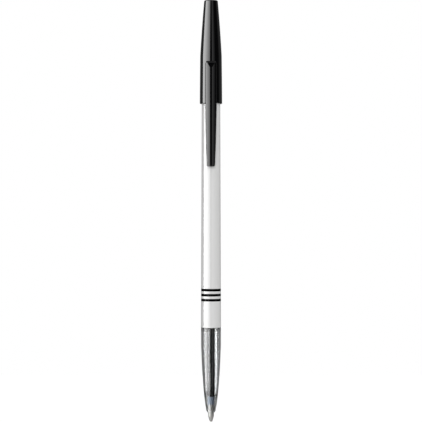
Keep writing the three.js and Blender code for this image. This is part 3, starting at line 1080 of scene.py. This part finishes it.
def add_panels():
    """The light ring: softbox on the left, dark flags, a narrow strip, and a slit left open behind."""
    low = TIP_Z - FLOOR_DROP
    for name, first, last, first_level, last_level in PANELS:
        steps = max(2, math.ceil((last - first) / PANEL_STEP))
        angles = [first + (last - first) * k / steps for k in range(steps + 1)]
        vertices = [ring_spot(angle, z) for angle in angles for z in (low, RING_TOP)]
        faces = [(2 * k, 2 * k + 2, 2 * k + 3, 2 * k + 1) for k in range(steps)]
        mesh = bpy.data.meshes.new(name)
        mesh.from_pydata(vertices, [], faces)
        mesh.materials.append(panel_finish(name, first, last, first_level, last_level))
        panel = bpy.data.objects.new(name, mesh)
        bpy.context.scene.collection.objects.link(panel)
        show_to_gloss_only(panel)
    mesh = bpy.data.meshes.new("ceiling")
    rim = [ring_spot(angle, RING_TOP) for angle in range(0, 360, 6)]
    mesh.from_pydata(rim, [], [tuple(range(len(rim)))])
    mesh.materials.append(panel_finish("ceiling", -180.0, 180.0, CEILING_LEVEL, CEILING_LEVEL))
    ceiling = bpy.data.objects.new("ceiling", mesh)
    bpy.context.scene.collection.objects.link(ceiling)
    show_to_gloss_only(ceiling)


def add_lamp(name, spot, target, width, height, level):
    """A soft panel that lights the pen's body colours; level is its brightness, with white at 1."""
    lamp = bpy.data.lights.new(name, "AREA")
    lamp.shape = "RECTANGLE"
    lamp.size = width
    lamp.size_y = height
    lamp.energy = level * math.pi * width * height
    holder = bpy.data.objects.new(name, lamp)
    bpy.context.scene.collection.objects.link(holder)
    holder.location = spot
    holder.rotation_euler = (Vector(target) - Vector(spot)).to_track_quat("-Z", "Y").to_euler()
    holder.visible_camera = False
    holder.visible_glossy = False
    holder.visible_transmission = False


def add_stage():
    """Camera, surroundings, floor, light ring and lamps."""
    scene = bpy.context.scene
    middle = Vector((0.0, AXIS_Y, s_place(PHOTO_MIDDLE_S)))
    lens = bpy.data.cameras.new("photo camera")
    lens.sensor_width = SENSOR_WIDTH
    lens.lens = SENSOR_WIDTH * CAMERA_DISTANCE / PHOTO_HEIGHT
    lens.clip_start = 0.01
    lens.clip_end = 50.0
    camera = bpy.data.objects.new("photo camera", lens)
    scene.collection.objects.link(camera)
    camera.location = middle - Vector((0.0, CAMERA_DISTANCE, 0.0))
    camera.rotation_euler = (math.pi / 2, 0.0, 0.0)
    scene.camera = camera
    scene.view_settings.view_transform = "Standard"
    set_world()
    add_floor()
    add_panels()
    add_lamp("front panel", (0.0, -1.2, middle.z + 0.5), middle, 1.0, 0.8, 2.46)
    add_lamp("overhead panel", (0.0, 0.1, middle.z + 1.2), middle, 1.2, 1.2, 1.05)
    add_lamp("rear panel", (0.0, 1.2, middle.z + 0.4), middle, 1.0, 0.8, 1.3)


class PEN_OT_stage(bpy.types.Operator):
    """Make the camera, the floor, the light ring and the lamps"""

    bl_idname = "pen.stage"
    bl_label = "Studio"

    def execute(self, context):
        add_stage()
        return {"FINISHED"}


class PEN_OT_cap(bpy.types.Operator):
    """Make the glossy black cap"""

    bl_idname = "pen.cap"
    bl_label = "Cap"

    def execute(self, context):
        add_cap()
        return {"FINISHED"}


class PEN_OT_clip(bpy.types.Operator):
    """Make the crowned clip"""

    bl_idname = "pen.clip"
    bl_label = "Clip"

    def execute(self, context):
        add_clip()
        return {"FINISHED"}


class PEN_OT_barrel(bpy.types.Operator):
    """Make the white barrel with its rings, and the plug in its rear end"""

    bl_idname = "pen.barrel"
    bl_label = "Barrel"

    def execute(self, context):
        add_barrel()
        add_plug()
        return {"FINISHED"}


class PEN_OT_nose(bpy.types.Operator):
    """Make the clear nose"""

    bl_idname = "pen.nose"
    bl_label = "Nose"

    def execute(self, context):
        add_nose()
        return {"FINISHED"}


class PEN_OT_refill(bpy.types.Operator):
    """Make the refill tube with its ink and grease"""

    bl_idname = "pen.refill"
    bl_label = "Refill"

    def execute(self, context):
        add_refill()
        return {"FINISHED"}


class PEN_OT_point(bpy.types.Operator):
    """Make the holder, the metal point and the writing ball"""

    bl_idname = "pen.point"
    bl_label = "Point"

    def execute(self, context):
        add_point()
        return {"FINISHED"}


OPERATORS = (
    PEN_OT_stage,
    PEN_OT_cap,
    PEN_OT_clip,
    PEN_OT_barrel,
    PEN_OT_nose,
    PEN_OT_refill,
    PEN_OT_point,
)


class PEN_PT_panel(bpy.types.Panel):
    """Lists what makes the pen's pieces and its studio"""

    bl_label = "Ballpoint pen"
    bl_idname = "PEN_PT_panel"
    bl_space_type = "VIEW_3D"
    bl_region_type = "UI"
    bl_category = "Pen"

    def draw(self, context):
        for operator in OPERATORS:
            self.layout.operator(operator.bl_idname)
        for group in (context.scene.pen_sizes, context.scene.pen_colours):
            for name in group.bl_rna.properties.keys():
                if name not in ("rna_type", "name"):
                    self.layout.prop(group, name)


CLASSES = (PEN_sizes, PEN_colours, *OPERATORS, PEN_PT_panel)


def register():
    for kind in CLASSES:
        bpy.utils.register_class(kind)
    bpy.types.Scene.pen_sizes = bpy.props.PointerProperty(type=PEN_sizes)
    bpy.types.Scene.pen_colours = bpy.props.PointerProperty(type=PEN_colours)


def unregister():
    del bpy.types.Scene.pen_colours
    del bpy.types.Scene.pen_sizes
    for kind in reversed(CLASSES):
        bpy.utils.unregister_class(kind)


def main():
    register()
    bpy.ops.pen.stage()
    bpy.ops.pen.cap()
    bpy.ops.pen.clip()
    bpy.ops.pen.barrel()
    bpy.ops.pen.nose()
    bpy.ops.pen.refill()
    bpy.ops.pen.point()


if __name__ == "__main__":
    main()
